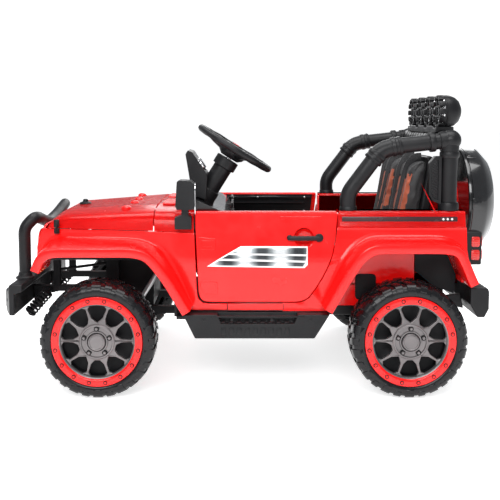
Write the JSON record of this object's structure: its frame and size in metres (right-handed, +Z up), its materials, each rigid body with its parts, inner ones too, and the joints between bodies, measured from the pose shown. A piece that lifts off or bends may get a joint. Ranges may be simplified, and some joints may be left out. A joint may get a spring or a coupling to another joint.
{
  "type": "ride-on toy off-road 4x4",
  "caption": "Child's open-topped battery ride-on 4x4 with steered front wheels, opening doors and bonnet, roll bar, roof lamps and rear-mounted spare wheel cover.",
  "frame": {"origin": "on the ground under the centre of the whole toy's box", "axes": "+X forward, +Y to the driver's left, +Z up"},
  "size_m": [1.3413, 0.734, 0.757],
  "materials": {
    "red_plastic": "glossy red moulded plastic",
    "black_plastic": "satin black moulded plastic",
    "gloss_black": "gloss black moulded plastic",
    "tyre": "hard black blow-moulded tyre",
    "rim": "dark metallic grey plastic",
    "steel": "zinc-plated steel rod",
    "seat_leather": "black imitation leather with brown patches",
    "clear_lens": "clear lamp lens over a chromed bowl",
    "battery_case": "battery block"
  },
  "bodies": {
    "chassis": {"chassis_frame": "black_plastic", "floor_pan": "black_plastic", "front_body": "red_plastic", "sills": "red_plastic", "rear_body": "red_plastic", "grille_insert": "black_plastic", "headlights": "clear_lens", "battery": "battery_case", "dashboard": "gloss_black", "instrument_pod": "black_plastic", "steering_column": "black_plastic", "seat_base": "black_plastic", "seat_left": "seat_leather", "seat_right": "seat_leather", "seat_shells": "black_plastic", "roll_bar": "black_plastic", "roll_cross_bar": "black_plastic", "side_grilles": "black_plastic", "roof_lamps": "black_plastic", "lamp_bar": "black_plastic", "spare_wheel_cover": "gloss_black", "spare_cap": "gloss_black", "tail_lights": "black_plastic", "rear_bumper": "black_plastic", "front_bumper": "black_plastic", "bull_bar": "black_plastic", "side_steps": "black_plastic", "mirrors": "black_plastic", "front_axle": "black_plastic", "rear_axle": "steel", "gearboxes": "black_plastic", "front_dampers": "black_plastic", "front_links": "black_plastic", "front_housing": "black_plastic", "rear_liners": "black_plastic", "pedal": "black_plastic"},
    "hood": {"hood": "red_plastic", "hood_latches": "black_plastic"},
    "door_left": {"door_left": "red_plastic", "door_card_left": "black_plastic", "door_handle_left": "black_plastic"},
    "door_right": {"door_right": "red_plastic", "door_card_right": "black_plastic", "door_handle_right": "black_plastic"},
    "steering": {"steering_wheel": "black_plastic", "steering_shaft": "steel"},
    "knuckle_left": {"knuckle_left": "steel"},
    "knuckle_right": {"knuckle_right": "steel"},
    "tie_rod": {"tie_rod": "steel"},
    "wheel_front_left": {"tyre_front_left": "tyre", "rim_front_left": "rim"},
    "wheel_front_right": {"tyre_front_right": "tyre", "rim_front_right": "rim"},
    "wheel_rear_left": {"tyre_rear_left": "tyre", "rim_rear_left": "rim"},
    "wheel_rear_right": {"tyre_rear_right": "tyre", "rim_rear_right": "rim"}
  },
  "joints": [
    {"name": "steering_wheel_turn", "type": "hinge", "parent": "chassis", "child": "steering", "pos_m": [0.073, 0.12, 0.614], "axis": [-0.5299, 0, 0.848], "range_deg": [-60, 60]},
    {"name": "steer_left", "type": "hinge", "parent": "chassis", "child": "knuckle_left", "pos_m": [0.413, 0.225, 0.145], "axis": [0, 0, 1], "range_deg": [-25.01, 25.01]},
    {"name": "steer_right", "type": "hinge", "parent": "chassis", "child": "knuckle_right", "pos_m": [0.413, -0.225, 0.145], "axis": [0, 0, 1], "range_deg": [-25.01, 25.01]},
    {"name": "track_rod_pivot", "type": "hinge", "parent": "knuckle_left", "child": "tie_rod", "pos_m": [0.353, 0.225, 0.105], "axis": [0, 0, 1], "range_deg": [-25.01, 25.01]},
    {"name": "wheel_front_left_spin", "type": "hinge", "parent": "knuckle_left", "child": "wheel_front_left", "pos_m": [0.413, 0.311, 0.145], "axis": [0, 1, 0], "continuous": true},
    {"name": "wheel_front_right_spin", "type": "hinge", "parent": "knuckle_right", "child": "wheel_front_right", "pos_m": [0.413, -0.311, 0.145], "axis": [0, 1, 0], "continuous": true},
    {"name": "wheel_rear_left_spin", "type": "hinge", "parent": "chassis", "child": "wheel_rear_left", "pos_m": [-0.361, 0.311, 0.145], "axis": [0, 1, 0], "continuous": true},
    {"name": "wheel_rear_right_spin", "type": "hinge", "parent": "chassis", "child": "wheel_rear_right", "pos_m": [-0.361, -0.311, 0.145], "axis": [0, 1, 0], "continuous": true},
    {"name": "door_left_hinge", "type": "hinge", "parent": "chassis", "child": "door_left", "pos_m": [0.155, 0.285, 0.34], "axis": [0, 0, -1], "range_deg": [0, 60]},
    {"name": "door_right_hinge", "type": "hinge", "parent": "chassis", "child": "door_right", "pos_m": [0.155, -0.285, 0.34], "axis": [0, 0, 1], "range_deg": [0, 60]},
    {"name": "hood_hinge", "type": "hinge", "parent": "chassis", "child": "hood", "pos_m": [0.281, 0, 0.463], "axis": [0, -1, 0], "range_deg": [0, 60]}
  ],
  "couplings": [
    {"joint": "steer_left", "follows": "steering_wheel_turn", "ratio": 0.41667},
    {"joint": "steer_right", "follows": "steering_wheel_turn", "ratio": 0.41667},
    {"joint": "track_rod_pivot", "follows": "steering_wheel_turn", "ratio": -0.41667}
  ]
}
